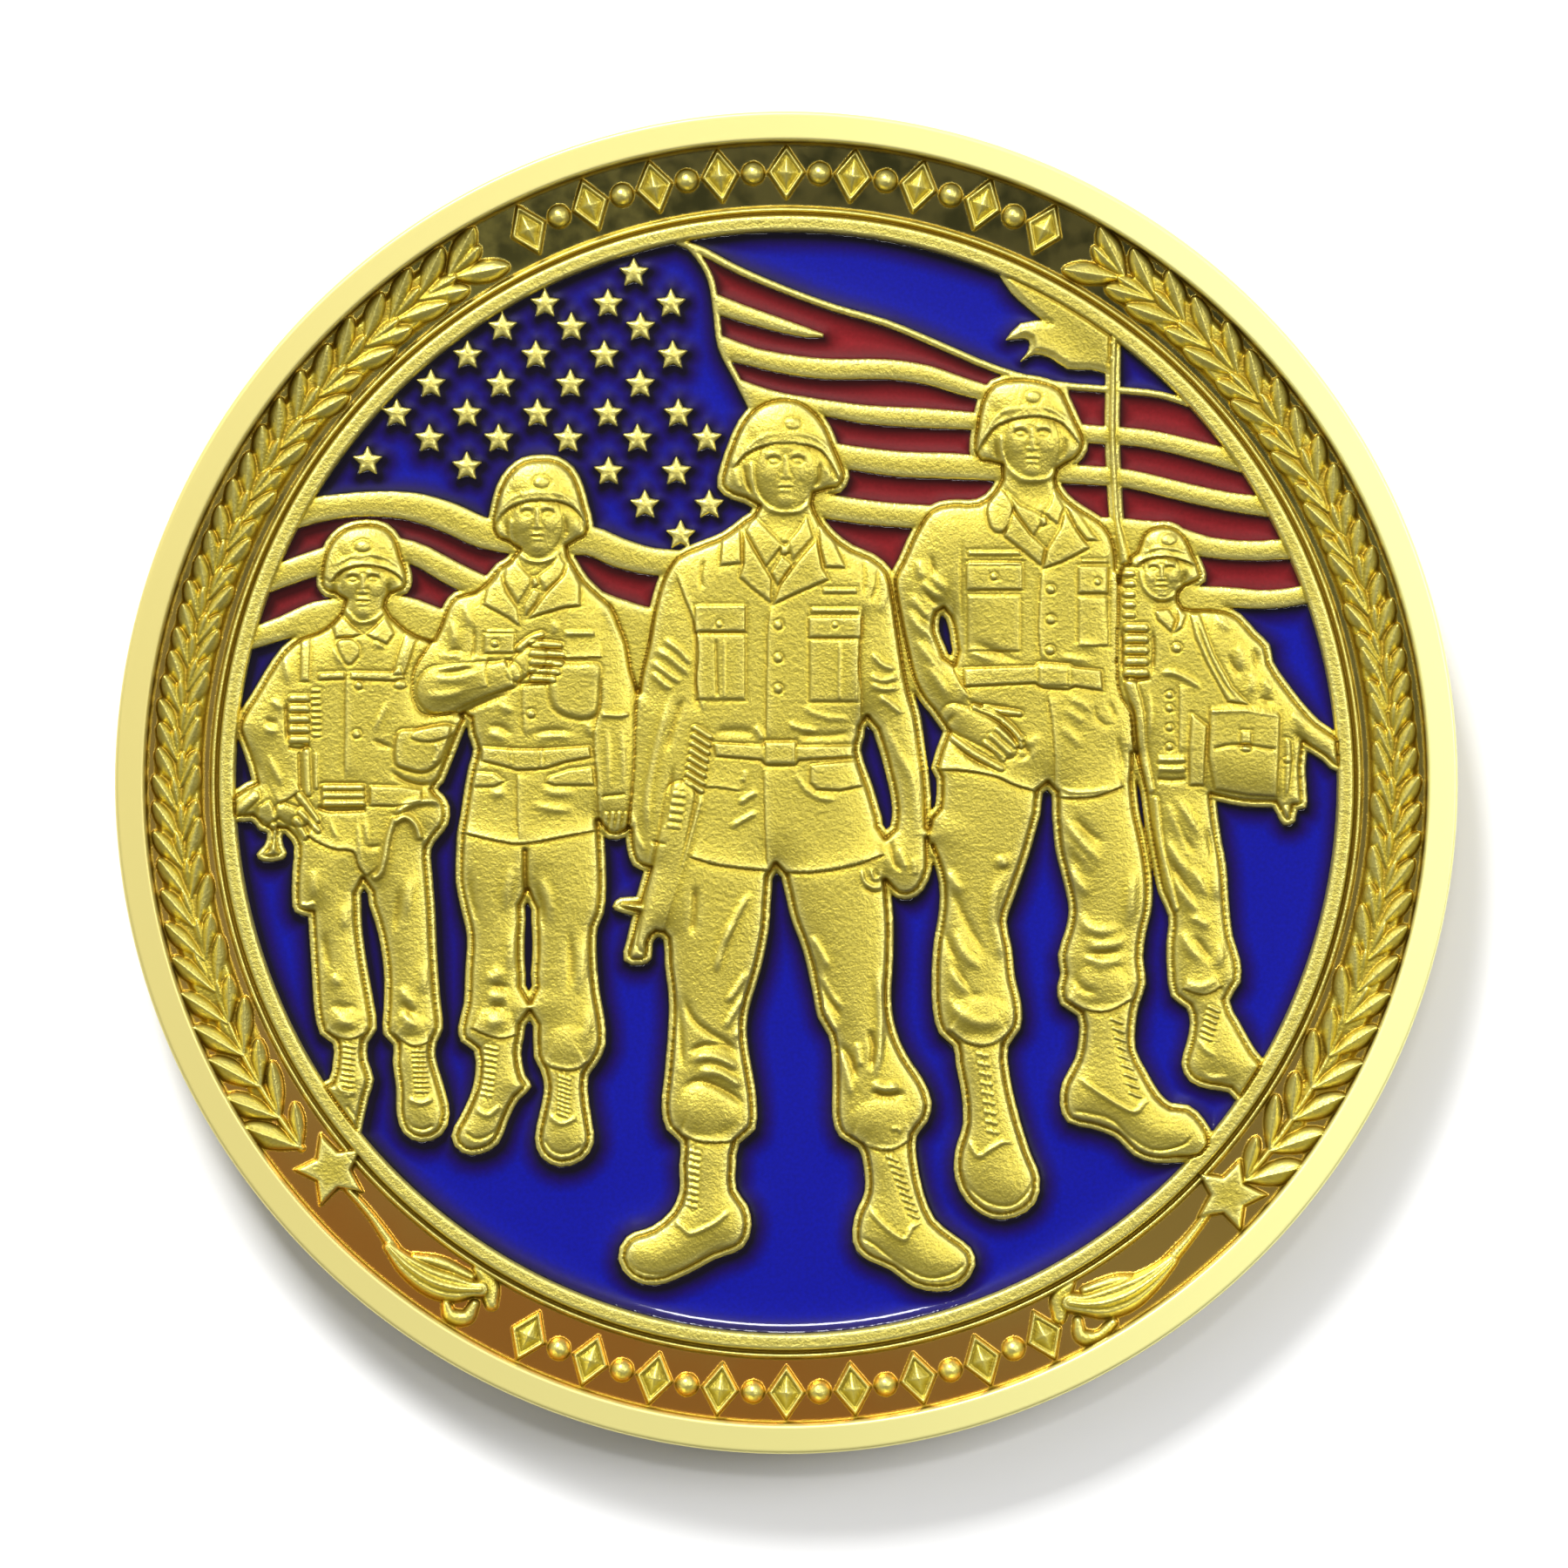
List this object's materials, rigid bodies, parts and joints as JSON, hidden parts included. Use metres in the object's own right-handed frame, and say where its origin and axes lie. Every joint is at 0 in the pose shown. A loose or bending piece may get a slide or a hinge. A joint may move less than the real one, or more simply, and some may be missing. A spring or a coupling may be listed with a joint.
{
  "type": "challenge coin",
  "caption": "Round gold-plated challenge coin with soldiers in relief before a flag and blue and red enamel, lying picture side up.",
  "frame": {"origin": "centre of the underside, on the plane the coin lies on", "axes": "+Z out of the picture side, +Y to the top of the picture, +X to its right"},
  "size_m": [0.04, 0.04, 0.003],
  "materials": {
    "gold": "satin",
    "blue_enamel": "gloss",
    "red_enamel": "gloss"
  },
  "bodies": {
    "root": {"struck_body": "gold", "enamel_canton": "blue_enamel", "enamel_sky_top": "blue_enamel", "enamel_sky_staff": "blue_enamel", "enamel_stripe_a1": "red_enamel", "enamel_stripe_a2": "red_enamel", "enamel_stripe_a3": "red_enamel", "enamel_stripe_a4": "red_enamel", "enamel_stripe_a5": "red_enamel", "enamel_stripe_b1": "red_enamel", "enamel_stripe_b2": "red_enamel", "enamel_stripe_b3": "red_enamel", "enamel_stripe_c1": "red_enamel", "enamel_stripe_c2": "red_enamel", "enamel_stripe_c3": "red_enamel", "enamel_stripe_c4": "red_enamel", "enamel_stripe_d1": "red_enamel", "enamel_stripe_d2": "red_enamel", "enamel_stripe_d3": "red_enamel", "enamel_stripe_d4": "red_enamel", "enamel_field_main": "blue_enamel", "enamel_field_left": "blue_enamel", "enamel_field_right": "blue_enamel", "enamel_field_step": "blue_enamel", "enamel_gap_shoulder_left": "blue_enamel", "enamel_gap_elbow_left": "blue_enamel", "enamel_gap_shoulder_right": "blue_enamel", "enamel_gap_knees": "blue_enamel", "enamel_gap_skirt": "blue_enamel", "enamel_gap_hip": "blue_enamel", "enamel_gap_elbow": "blue_enamel"}
  },
  "joints": []
}
